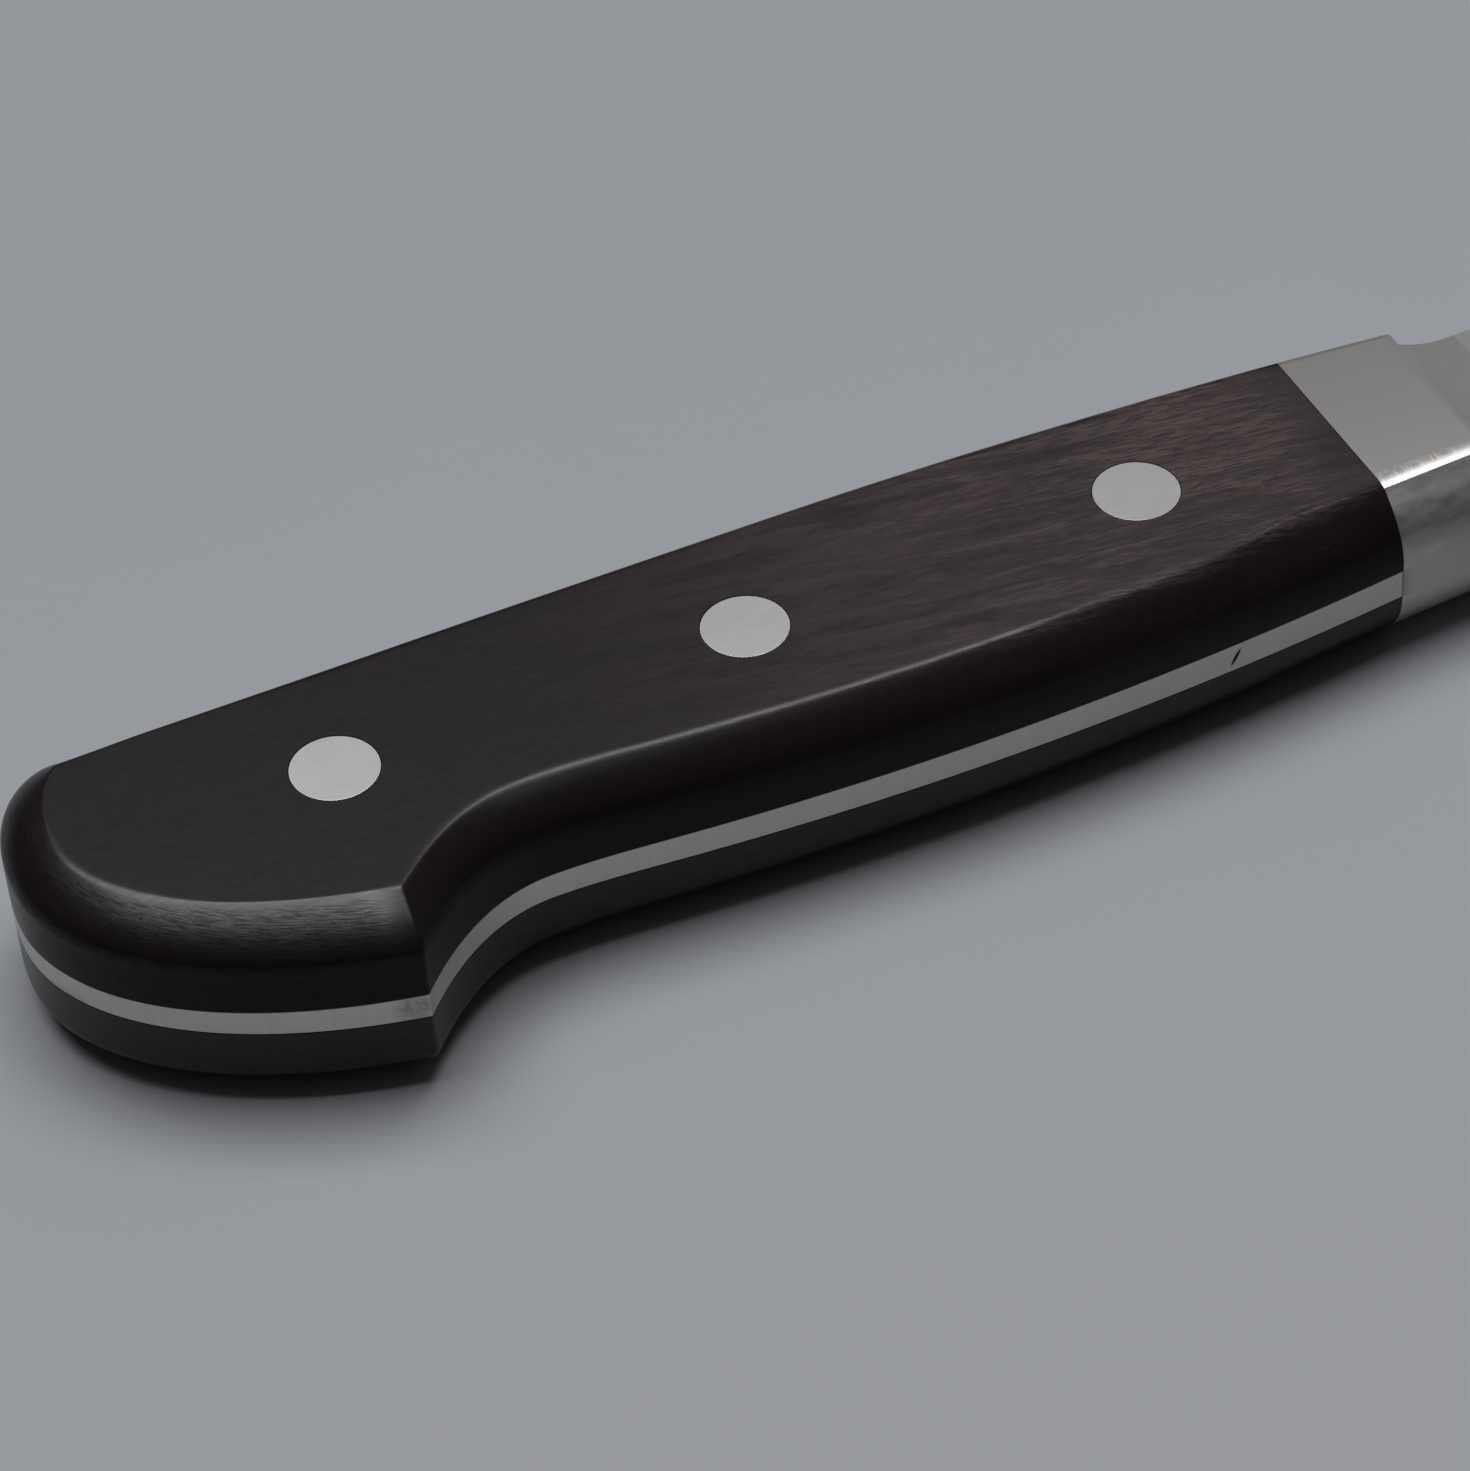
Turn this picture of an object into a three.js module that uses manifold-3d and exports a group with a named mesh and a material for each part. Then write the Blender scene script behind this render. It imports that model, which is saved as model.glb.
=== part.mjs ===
import * as THREE from 'three';
import { mergeVertices } from 'three/addons/utils/BufferGeometryUtils.js';
import Module from 'manifold-3d';

// Gyuto: a chef's knife with a full tapered tang, a steel bolster and a riveted wooden handle.
// Millimetres. The knife's own axes: x runs from the joint of bolster and scales to the tip,
// y from the rivet line up to the spine, z from the middle plane out to the right-hand face.

// Handle outline, belly side: lengths run back from the bolster, depths down from the rivet line
const JOINT_TO_CREST = 30.35;
const CREST_TO_GRIP = 27.5;
const GRIP_TO_WAIST = 9.35;
const WAIST_TO_HOOK = 11.85;
const HOOK_TO_BUTT = 22.75;
const BELLY_AT_FRONT = 10.65;
const BELLY_AT_JOINT = 11.1;
const BELLY_AT_CREST = 12.7;
const BELLY_AT_GRIP = 11.2;
const BELLY_AT_WAIST = 10.48;
const HOOK_DEPTH = 17;
const GRIP_SLOPE = 0.107;
const HOOK_SLOPE = 1.1;

// Handle outline, back and butt: heights above the rivet line
const JOINT_TO_SPINE_PEAK = 40.7;
const SPINE_AT_JOINT = 10.88;
const SPINE_PEAK = 12.7;
const SPINE_AT_BUTT = 12.34;
const BUTT_END_HEIGHT = 1.8;
const BUTT_SWEEP = 35.3; // half-length of the ellipse that rounds the butt below its end
const BUTT_CORNER = 6.1; // length of the round corner between butt and back

// Handle thickness and the rounding between its flats and its outline
const HANDLE_THICKNESS_AT_JOINT = 13.8;
const HANDLE_THICKNESS_AT_BUTT = 15.6;
const CREASE_INSET = 3.4; // the crease of the flat lies this far inside the outline
const BACK_INSET = 3; // and a little less along the back
const HOOK_INSET = 2.7; // and less at the hook's tip, on its belly side
const HOOK_BEVEL = 4.2; // and more on its butt side
const BEVEL_REACH = 34; // from the hook's tip to where the butt's bevel has the common inset
const FRONT_DISH = 0.6; // the belly's crease bows in behind the bolster
const FRONT_DISH_LENGTH = 13.5;
const CORNER_BLEND = 4; // lengths of a corner's slide over which the crease eases into it
const JOINT_ROUND = { reach: 1, power: 2.4 }; // share of the depth that is rounded, and how fast
const GRIP_ROUND = { reach: 0.68, power: 2.5 };
const BUTT_ROUND = { reach: 0.45, power: 2 };
const BACK_ROUND = { reach: 1, power: 1.85 };

// Tang, bolster and blade
const TANG_AT_BUTT = 2.05;
const TANG_AT_JOINT = 2.5;
const SPINE_AT_TIP = 0.6;
const BOLSTER_LENGTH = 9.15;
const BOLSTER_FILLET = 7.5;
const FILLET_TOE = 0.25; // height at which the fillet ends on the blade
const BLADE_LENGTH = 210; // heel to tip
const HEEL_HEIGHT = 45;
const TIP_DROP = 19; // tip below the spine line
const SPINE_RISE = 0.42; // the blade's spine stands this far above the bolster's back
const FRONT_TO_CHOIL = 1; // straight neck below the bolster's front
const CHOIL_RADIUS = 6.5;
const CHOIL_LEAN = 1.2; // heel in front of the end of the choil's round
const GRIND_SHARE = 0.42; // flat part of the blade's height, from the spine
const BEHIND_EDGE = 0.32; // thickness above the cutting bevel
const EDGE_WIDTH = 0.06;
const BEVEL_HEIGHT = 0.9;
const BEVEL_SHARE = 0.3; // of the blade's height, near the tip, where that is less
const TIP_ROUND = 0.5;
const EDGE_CURVE = 3; // powers by which edge and spine bend towards the tip
const SPINE_CURVE = 3.2;

// Rivets: each has a male half with a post and a female half with a barrel
const FRONT_RIVET_SETBACK = 16; // from the bolster joint
const REAR_RIVET_MARGIN = 23.3; // from the butt
const RIVET_HEAD_DIAMETER = 6.4;
const RIVET_HEAD_THICKNESS = 2;
const RIVET_POST_DIAMETER = 2.4;
const RIVET_BARREL_WALL = 0.74;
const RIVET_RECESS = 0.03; // heads ground a hair below the wood
const SEAM = 0.06; // glue film and clearance between neighbours
const WELD = 1e-5; // points closer than this are one point

// Fineness of the faceted surfaces
const GRIP_STEPS = 18;
const HOOK_STEPS = 9;
const BUTT_STEPS = 18;
const BLADE_STEPS = 28;
const FILLET_STEPS = 7;
const CHOIL_STEPS = 6;
const ROUND_SIDES = 32;
const DEPTH_ROWS = [0, 0.07, 0.17, 0.3, 0.46, 0.7, 1]; // 0 at the flat, 1 at the tang

const WAIST_X = -(JOINT_TO_CREST + CREST_TO_GRIP + GRIP_TO_WAIST);
const HOOK_X = WAIST_X - WAIST_TO_HOOK;
const BUTT_X = HOOK_X - HOOK_TO_BUTT;
const CHOIL_X = BOLSTER_LENGTH + FRONT_TO_CHOIL;
const HEEL_X = CHOIL_X + CHOIL_RADIUS + CHOIL_LEAN;
const TIP_X = HEEL_X + BLADE_LENGTH;
const RIVET_BARREL_DIAMETER = RIVET_POST_DIAMETER + 2 * (SEAM + RIVET_BARREL_WALL);
const FLAT_TAPER = (HANDLE_THICKNESS_AT_BUTT - HANDLE_THICKNESS_AT_JOINT) / 2 / -BUTT_X;

const wasm = await Module();
wasm.setup();
const { lerp, clamp, smoothstep } = THREE.MathUtils;
const QUARTER_TURN = Math.PI / 2;

// Cubic between two knots { x, y, slope }
function hermite(x, a, b) {
  const span = b.x - a.x;
  const t = (x - a.x) / span;
  const rise = t * t * (3 - 2 * t);
  const leave = t * (1 - t) * (1 - t) * a.slope;
  const arrive = t * t * (1 - t) * b.slope;
  return lerp(a.y, b.y, rise) + span * (leave - arrive);
}

const BELLY_KNOTS = [
  { x: 0, y: -BELLY_AT_JOINT, slope: (2 * (BELLY_AT_CREST - BELLY_AT_JOINT)) / JOINT_TO_CREST },
  { x: -JOINT_TO_CREST, y: -BELLY_AT_CREST, slope: 0 },
  { x: -JOINT_TO_CREST - CREST_TO_GRIP, y: -BELLY_AT_GRIP, slope: -GRIP_SLOPE },
  { x: WAIST_X, y: -BELLY_AT_WAIST, slope: 0 },
  { x: HOOK_X, y: -HOOK_DEPTH, slope: HOOK_SLOPE },
];

// Height on a quarter ellipse, from 0 at its end to 1 after the given length
function roundEnd(fromEnd, length) {
  return Math.sqrt(1 - (1 - fromEnd / length) ** 2);
}

// Lower outline of handle and bolster
function bellyLine(x) {
  if (x >= 0) {
    return -lerp(BELLY_AT_JOINT, BELLY_AT_FRONT, Math.min(x / BOLSTER_LENGTH, 1));
  }
  if (x < HOOK_X) {
    const depth = (BUTT_END_HEIGHT + HOOK_DEPTH) / roundEnd(HOOK_TO_BUTT, BUTT_SWEEP);
    return BUTT_END_HEIGHT - depth * roundEnd(x - BUTT_X, BUTT_SWEEP);
  }
  const next = BELLY_KNOTS.findIndex((knot) => knot.x <= x);
  return hermite(x, BELLY_KNOTS[Math.max(next - 1, 0)], BELLY_KNOTS[Math.max(next, 1)]);
}

// Upper outline of handle and bolster
function backLine(x) {
  const peak = -JOINT_TO_SPINE_PEAK;
  if (x > peak) {
    return SPINE_PEAK - (SPINE_PEAK - SPINE_AT_JOINT) * ((x - peak) / -peak) ** 2;
  }
  const back = SPINE_PEAK - (SPINE_PEAK - SPINE_AT_BUTT) * ((peak - x) / (peak - BUTT_X)) ** 2;
  if (x > BUTT_X + BUTT_CORNER) {
    return back;
  }
  return lerp(BUTT_END_HEIGHT, back, roundEnd(x - BUTT_X, BUTT_CORNER));
}

// Half thickness of the handle out to its flat, and of the steel in its middle
function flatHeight(x) {
  return HANDLE_THICKNESS_AT_JOINT / 2 - FLAT_TAPER * x;
}

function steelHeight(x) {
  const end = x < 0 ? TANG_AT_BUTT : SPINE_AT_TIP;
  const run = x < 0 ? BUTT_X : TIP_X;
  return lerp(TANG_AT_JOINT, end, x / run) / 2;
}

// Stations along the handle, from the joint back to the butt, close together at the butt
function handleStations() {
  const stations = [];
  for (let i = 0; i < GRIP_STEPS; i++) {
    stations.push((WAIST_X * i) / GRIP_STEPS);
  }
  for (let i = 0; i < HOOK_STEPS; i++) {
    stations.push(lerp(WAIST_X, HOOK_X, i / HOOK_STEPS));
  }
  for (let i = 0; i < BUTT_STEPS; i++) {
    stations.push(lerp(BUTT_X, HOOK_X, 1 - Math.sin((i / BUTT_STEPS) * QUARTER_TURN)));
  }
  return stations;
}

// 0 along the back, 1 from the butt's end round to the belly
function buttShare({ x, y }) {
  return y > BUTT_END_HEIGHT ? clamp(1 - (x - BUTT_X) / (2 * BUTT_CORNER), 0, 1) : 1;
}

// Rounding of the handle's sides beside a point of its outline
function roundAt(point) {
  const grip = -JOINT_TO_CREST - CREST_TO_GRIP;
  let [a, b, t] = [BACK_ROUND, BUTT_ROUND, buttShare(point)];
  if (point.y < 0 && point.x > HOOK_X) {
    [a, b, t] =
      point.x > grip
        ? [JOINT_ROUND, GRIP_ROUND, point.x / grip]
        : [GRIP_ROUND, BUTT_ROUND, (point.x - grip) / (HOOK_X - grip)];
  }
  return { reach: lerp(a.reach, b.reach, t), power: lerp(a.power, b.power, t) };
}

// How much of the inset is left at a depth below the flat
function insetShare(depth, round) {
  return Math.max(0, 1 - depth / round.reach) ** round.power;
}

// Inset of the crease beside a point of the outline, with its own value at the hook's tip
function insetNear(hook, tipInset, reach) {
  return (point) => {
    const away = smoothstep(point.distanceTo(hook), 0, reach);
    return lerp(tipInset, lerp(BACK_INSET, CREASE_INSET, buttShare(point)), away);
  };
}

// How far the belly's crease bows in behind the bolster
function frontDish(x) {
  const fromMiddle = (2 * x) / FRONT_DISH_LENGTH + 1;
  return FRONT_DISH * Math.max(0, 1 - fromMiddle ** 2) ** 2;
}

// Direction of travel and inward normal at a point of an outline that is walked clockwise
function directionsAt(points, i) {
  const along = points[Math.min(i + 1, points.length - 1)].clone();
  along.sub(points[Math.max(i - 1, 0)]).normalize();
  return { along, inward: new THREE.Vector2(along.y, -along.x) };
}

// Crease of the flat beside a stretch of outline: moved inwards by its inset, with both ends slid
// along so that they land on the given corners
function creaseBeside(points, inset, corners) {
  const ends = [0, points.length - 1];
  const slides = ends.map((end, k) => {
    const { along, inward } = directionsAt(points, end);
    const offset = inward.multiplyScalar(inset(points[end]));
    return corners[k].clone().sub(points[end]).sub(offset).dot(along);
  });
  return points.map((point, i) => {
    const { along, inward } = directionsAt(points, i);
    const crease = point.clone().addScaledVector(inward, inset(point));
    ends.forEach((end, k) => {
      const away = point.distanceTo(points[end]) / Math.max(CORNER_BLEND * Math.abs(slides[k]), SEAM);
      crease.addScaledVector(along, slides[k] * Math.max(0, 1 - away) ** 2);
    });
    return crease;
  });
}

// Where two lines cross that run beside a corner, each at its own inset
function mitre(corner, first, firstInset, second, secondInset) {
  const a = first.inward;
  const b = second.inward;
  const det = a.x * b.y - a.y * b.x;
  return new THREE.Vector2(
    corner.x + (firstInset * b.y - secondInset * a.y) / det,
    corner.y + (secondInset * a.x - firstInset * b.x) / det,
  );
}

// Outline of a scale and the crease of its flat, from the joint's belly round the butt and back
function scaleOutline() {
  const stations = handleStations();
  stations[0] = -SEAM;
  const bellyCount = stations.findIndex((x) => x <= HOOK_X) + 1;
  const at = (line) => (x) => new THREE.Vector2(x, line(x));
  const below = stations.map(at(bellyLine));
  const belly = below.slice(0, bellyCount);
  const back = below.slice(bellyCount - 1).concat(stations.map(at(backLine)).reverse());
  const hook = belly.at(-1);
  const beside = [directionsAt(belly, belly.length - 1), directionsAt(back, 0)];
  const corner = mitre(hook, beside[0], HOOK_INSET, beside[1], HOOK_BEVEL);
  const bellyStart = new THREE.Vector2(-SEAM, belly[0].y + CREASE_INSET);
  const backEnd = new THREE.Vector2(-SEAM, back.at(-1).y - BACK_INSET);
  const bellyInset = insetNear(hook, HOOK_INSET, WAIST_TO_HOOK);
  const dished = (point) => bellyInset(point) + frontDish(point.x);
  const bellyCrease = creaseBeside(belly, dished, [bellyStart, corner]);
  const backCrease = creaseBeside(back, insetNear(hook, HOOK_BEVEL, BEVEL_REACH), [corner, backEnd]);
  return {
    outline: belly.concat(back.slice(1)),
    crease: bellyCrease.concat(backCrease.slice(1)),
  };
}

// Triangles that close a flat ring of points, in the ring's own direction
function capTriangles(ring) {
  const normal = new THREE.Vector3();
  ring.forEach((p, i) => normal.add(p.clone().cross(ring[(i + 1) % ring.length])));
  const sizes = [Math.abs(normal.x), Math.abs(normal.y), Math.abs(normal.z)];
  const drop = sizes.indexOf(Math.max(...sizes));
  const axes = ['x', 'y', 'z'].filter((_, k) => k !== drop);
  const flat = ring.map((p) => new THREE.Vector2(p[axes[0]], p[axes[1]]));
  const turn = Math.sign(THREE.ShapeUtils.area(flat));
  return THREE.ShapeUtils.triangulateShape(flat, []).map(([a, b, c]) => {
    const area = THREE.ShapeUtils.area([flat[a], flat[b], flat[c]]);
    return Math.sign(area) === turn ? [a, b, c] : [a, c, b];
  });
}

// Closed solid through a row of rings that all have the same number of points
function loft(rings) {
  const count = rings[0].length;
  const triangles = [];
  for (let r = 0; r + 1 < rings.length; r++) {
    for (let i = 0; i < count; i++) {
      const a = r * count + i;
      const b = r * count + ((i + 1) % count);
      triangles.push([a, b, b + count], [a, b + count, a + count]);
    }
  }
  const last = (rings.length - 1) * count;
  capTriangles(rings[0]).forEach(([a, b, c]) => triangles.push([a, c, b]));
  capTriangles(rings.at(-1)).forEach(([a, b, c]) => triangles.push([last + a, last + b, last + c]));
  const points = rings.flat();
  const volume = triangles.reduce((sum, [a, b, c]) => {
    return sum + points[a].dot(points[b].clone().cross(points[c]));
  }, 0);
  const outward = volume > 0 ? triangles : triangles.map(([a, b, c]) => [a, c, b]);
  const geometry = new THREE.BufferGeometry().setFromPoints(points);
  geometry.setIndex(outward.flat());
  return geometry;
}

function mirrored(rings) {
  return rings.map((ring) => ring.map((p) => new THREE.Vector3(p.x, p.y, -p.z)));
}

// Solids for cutting, and back again
function solid(geometry) {
  const bare = geometry.clone();
  bare.deleteAttribute('normal');
  bare.deleteAttribute('uv');
  const merged = mergeVertices(bare, WELD);
  return new wasm.Manifold(
    new wasm.Mesh({
      numProp: 3,
      vertProperties: new Float32Array(merged.attributes.position.array),
      triVerts: new Uint32Array(merged.index.array),
    }),
  );
}

function drilled(geometry, bores) {
  const body = bores.reduce((rest, bore) => rest.subtract(solid(bore)), solid(geometry));
  const mesh = body.getMesh();
  const result = new THREE.BufferGeometry();
  result.setAttribute('position', new THREE.BufferAttribute(mesh.vertProperties, 3));
  result.setIndex(new THREE.BufferAttribute(mesh.triVerts, 1));
  return result;
}

// Round bore square to the middle plane
function bore(x, diameter, from, to) {
  const geometry = new THREE.CylinderGeometry(diameter / 2, diameter / 2, to - from, ROUND_SIDES);
  return geometry.rotateX(QUARTER_TURN).translate(x, 0, (from + to) / 2);
}

// Rivets from the bolster back: the middle one stands halfway
const FRONT_RIVET_X = -FRONT_RIVET_SETBACK;
const REAR_RIVET_X = BUTT_X + REAR_RIVET_MARGIN;
const RIVETS = {
  front: FRONT_RIVET_X,
  middle: (FRONT_RIVET_X + REAR_RIVET_X) / 2,
  rear: REAR_RIVET_X,
};

function headFloor(x) {
  return flatHeight(x) - RIVET_HEAD_THICKNESS;
}

// A wooden scale on the right-hand side, or its mirror image, bored for the rivets
function scale(side) {
  const { outline, crease } = scaleOutline();
  const rings = DEPTH_ROWS.map((depth) =>
    outline.map((edge, i) => {
      const share = insetShare(depth, roundAt(edge));
      const place = edge.clone().lerp(crease[i], share);
      const base = steelHeight(edge.x) + SEAM;
      return new THREE.Vector3(place.x, place.y, lerp(flatHeight(crease[i].x), base, depth));
    }),
  );
  const bores = Object.values(RIVETS).flatMap((x) => {
    const floor = headFloor(x);
    const outside = HANDLE_THICKNESS_AT_JOINT + HANDLE_THICKNESS_AT_BUTT;
    const head = [RIVET_HEAD_DIAMETER + 2 * SEAM, floor, outside];
    const barrel = [RIVET_BARREL_DIAMETER + 2 * SEAM, 0, outside];
    return [head, barrel].map(([diameter, from, to]) => {
      return side > 0 ? bore(x, diameter, from, to) : bore(x, diameter, -to, -from);
    });
  });
  return drilled(loft(side > 0 ? rings : mirrored(rings)), bores);
}

// Section of a bolster cheek: up its belly side, across the top and down its back side
function cheekRing(x, drop) {
  const sides = [
    { edge: bellyLine(x), inset: CREASE_INSET, round: JOINT_ROUND, rows: [...DEPTH_ROWS].reverse() },
    { edge: backLine(Math.min(x, BOLSTER_LENGTH)), inset: -BACK_INSET, round: BACK_ROUND, rows: DEPTH_ROWS },
  ];
  return sides.flatMap(({ edge, inset, round, rows }) =>
    rows.map((row) => {
      const depth = lerp(drop, 1, row);
      const y = edge + inset * insetShare(depth, round);
      const base = steelHeight(x) + SEAM;
      return new THREE.Vector3(x, y, lerp(flatHeight(x), base, depth));
    }),
  );
}

// A bolster cheek: its front is a concave fillet that runs out on the blade
function cheek(side) {
  const full = flatHeight(BOLSTER_LENGTH) - steelHeight(BOLSTER_LENGTH) - SEAM;
  const lowest = 1 - FILLET_TOE / full;
  const rings = [cheekRing(0, 0), cheekRing(BOLSTER_LENGTH / 2, 0), cheekRing(BOLSTER_LENGTH, 0)];
  for (let i = 1; i <= FILLET_STEPS; i++) {
    const turn = (i / FILLET_STEPS) * QUARTER_TURN;
    const x = BOLSTER_LENGTH + BOLSTER_FILLET * (1 - Math.cos(turn));
    rings.push(cheekRing(x, lowest * Math.sin(turn)));
  }
  return loft(side > 0 ? rings : mirrored(rings));
}

// Blade profile
function spineLine(x) {
  if (x < BOLSTER_LENGTH) {
    return backLine(x);
  }
  const t = (x - BOLSTER_LENGTH) / (TIP_X - BOLSTER_LENGTH);
  const risen = clamp((x - BOLSTER_LENGTH) / FRONT_TO_CHOIL, 0, 1);
  return backLine(BOLSTER_LENGTH) + SPINE_RISE * risen - TIP_DROP * t ** SPINE_CURVE;
}

function edgeLine(x) {
  const heel = backLine(BOLSTER_LENGTH) - HEEL_HEIGHT;
  const t = clamp((x - HEEL_X) / BLADE_LENGTH, 0, 1);
  return heel + (HEEL_HEIGHT - TIP_DROP) * t ** EDGE_CURVE;
}

// Lower outline of the steel: belly, round choil, heel and cutting edge
function lowerLine(x) {
  if (x <= CHOIL_X) {
    return bellyLine(x);
  }
  if (x >= HEEL_X) {
    return edgeLine(x);
  }
  const into = Math.min((x - CHOIL_X) / CHOIL_RADIUS, 1);
  const round = bellyLine(x) - CHOIL_RADIUS * (1 - Math.sqrt(1 - into * into));
  const past = Math.max(x - CHOIL_X - CHOIL_RADIUS, 0) / CHOIL_LEAN;
  return lerp(round, edgeLine(HEEL_X), past);
}

// Half thickness of the steel: flat from the spine, then ground down to the edge
function bladeHeight(x, y) {
  const grind = lerp(spineLine(x), edgeLine(x), GRIND_SHARE);
  const ground = clamp((grind - y) / (grind - edgeLine(x)), 0, 1);
  const begun = clamp((x - CHOIL_X) / (HEEL_X - CHOIL_X), 0, 1);
  return lerp(steelHeight(x), BEHIND_EDGE / 2, ground * begun);
}

// Section of the steel: spine, end of the flat, top of the cutting bevel and edge, on both faces
function steelRing(x) {
  const top = spineLine(x);
  const bottom = lowerLine(x);
  const bevel = Math.min(BEVEL_HEIGHT, (top - bottom) * BEVEL_SHARE);
  const rows = [top, lerp(top, bottom, GRIND_SHARE), bottom + bevel, bottom];
  const right = rows.map((y, i) => {
    const cutting = i === rows.length - 1 && x >= HEEL_X;
    return new THREE.Vector3(x, y, cutting ? EDGE_WIDTH / 2 : bladeHeight(x, y));
  });
  return right.concat(mirrored([right])[0].reverse());
}

// The blade and its tang, one piece of steel, bored for the rivets
function bladeWithTang() {
  const stations = handleStations().reverse();
  stations.push(BOLSTER_LENGTH / 2, BOLSTER_LENGTH, CHOIL_X);
  for (let i = 1; i <= CHOIL_STEPS; i++) {
    stations.push(CHOIL_X + CHOIL_RADIUS * Math.sin((i / CHOIL_STEPS) * QUARTER_TURN));
  }
  for (let i = 0; i <= BLADE_STEPS; i++) {
    stations.push(lerp(HEEL_X, TIP_X - TIP_ROUND, i / BLADE_STEPS));
  }
  const bores = Object.values(RIVETS).map((x) => {
    return bore(x, RIVET_BARREL_DIAMETER + 2 * SEAM, -TANG_AT_JOINT, TANG_AT_JOINT);
  });
  return drilled(loft(stations.map(steelRing)), bores);
}

// Half a rivet, turned about the rivet's axis, with its head ground to the slope of the flat
function rivetHalf(x, profile, side) {
  const geometry = new THREE.LatheGeometry(profile, ROUND_SIDES);
  geometry.rotateX(QUARTER_TURN);
  const position = geometry.attributes.position;
  const top = profile.at(-1).y;
  for (let i = 0; i < position.count; i++) {
    const slope = position.getZ(i) > top - SEAM ? -FLAT_TAPER * position.getX(i) : 0;
    position.setZ(i, position.getZ(i) + slope);
  }
  return side > 0 ? geometry.translate(x, 0, 0) : geometry.scale(1, -1, -1).translate(x, 0, 0);
}

// Profiles of the two halves, from the axis at the inner end to the axis on the head
function headProfile(x) {
  const under = headFloor(x) + SEAM;
  const top = flatHeight(x) - RIVET_RECESS;
  const radius = RIVET_HEAD_DIAMETER / 2;
  return [new THREE.Vector2(radius, under), new THREE.Vector2(radius, top), new THREE.Vector2(0, top)];
}

function rivetMale(x) {
  const end = -headFloor(x) + SEAM;
  const radius = RIVET_POST_DIAMETER / 2;
  const post = [
    new THREE.Vector2(0, end),
    new THREE.Vector2(radius, end),
    new THREE.Vector2(radius, headFloor(x) + SEAM),
  ];
  return rivetHalf(x, post.concat(headProfile(x)), 1);
}

function rivetFemale(x) {
  const end = -headFloor(x);
  const under = headFloor(x) + SEAM;
  const inner = RIVET_POST_DIAMETER / 2 + SEAM;
  const outer = RIVET_BARREL_DIAMETER / 2;
  const barrel = [
    new THREE.Vector2(0, under),
    new THREE.Vector2(inner, under),
    new THREE.Vector2(inner, end),
    new THREE.Vector2(outer, end),
    new THREE.Vector2(outer, under),
  ];
  return rivetHalf(x, barrel.concat(headProfile(x)), -1);
}

// Materials
const bladeSteel = new THREE.MeshStandardMaterial({ color: 0xb4b2ae, roughness: 0.34, metalness: 1 });
const bolsterSteel = new THREE.MeshStandardMaterial({ color: 0xa8a5a0, roughness: 0.38, metalness: 1 });
const rivetSteel = new THREE.MeshStandardMaterial({ color: 0xc4c2be, roughness: 0.42, metalness: 1 });
const scaleWood = new THREE.MeshStandardMaterial({ color: 0x33292a, roughness: 0.5, metalness: 0 });

const knife = new THREE.Group();

function addPiece(name, geometry, material) {
  const mesh = new THREE.Mesh(geometry, material);
  mesh.name = name;
  knife.add(mesh);
}

addPiece('blade_with_tang', bladeWithTang(), bladeSteel);
addPiece('bolster_right', cheek(1), bolsterSteel);
addPiece('bolster_left', cheek(-1), bolsterSteel);
addPiece('scale_right', scale(1), scaleWood);
addPiece('scale_left', scale(-1), scaleWood);
for (const [place, x] of Object.entries(RIVETS)) {
  addPiece(`rivet_${place}_male`, rivetMale(x), rivetSteel);
  addPiece(`rivet_${place}_female`, rivetFemale(x), rivetSteel);
}

// The knife lies on the flat of its left scale: the origin is on that flat, between two rivets
const REST_X = (RIVETS.front + RIVETS.middle) / 2;
knife.rotation.y = Math.atan(FLAT_TAPER);
const restPoint = new THREE.Vector3(REST_X, 0, -flatHeight(REST_X));
knife.position.copy(restPoint.applyEuler(knife.rotation)).negate();

const part = new THREE.Group();
part.add(knife);

export default part;
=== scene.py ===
import math

import bmesh
import bpy
import numpy as np
from mathutils import Matrix, Vector

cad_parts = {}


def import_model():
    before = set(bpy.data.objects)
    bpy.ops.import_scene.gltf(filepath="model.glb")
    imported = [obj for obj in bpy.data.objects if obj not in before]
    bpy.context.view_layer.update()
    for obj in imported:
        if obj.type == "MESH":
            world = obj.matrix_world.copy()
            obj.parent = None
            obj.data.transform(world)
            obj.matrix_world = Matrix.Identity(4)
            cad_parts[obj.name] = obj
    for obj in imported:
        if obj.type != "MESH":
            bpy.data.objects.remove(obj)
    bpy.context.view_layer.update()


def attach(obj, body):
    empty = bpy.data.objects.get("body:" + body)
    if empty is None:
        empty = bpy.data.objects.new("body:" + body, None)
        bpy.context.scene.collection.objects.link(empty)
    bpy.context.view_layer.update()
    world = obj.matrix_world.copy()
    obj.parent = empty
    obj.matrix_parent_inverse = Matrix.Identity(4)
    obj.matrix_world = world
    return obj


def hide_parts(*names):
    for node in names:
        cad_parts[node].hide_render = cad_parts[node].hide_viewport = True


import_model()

# A gyuto's handle seen from its butt: dark wooden scales, full tang, bolster and the blade beyond.
# Lengths are in millimetres along the knife's own axes: x from the joint of bolster and scales to
# the tip, y from the rivet line up to the spine, z out of the right-hand face. row() turns points
# into the frame's metres.
MM = 0.001

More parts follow.
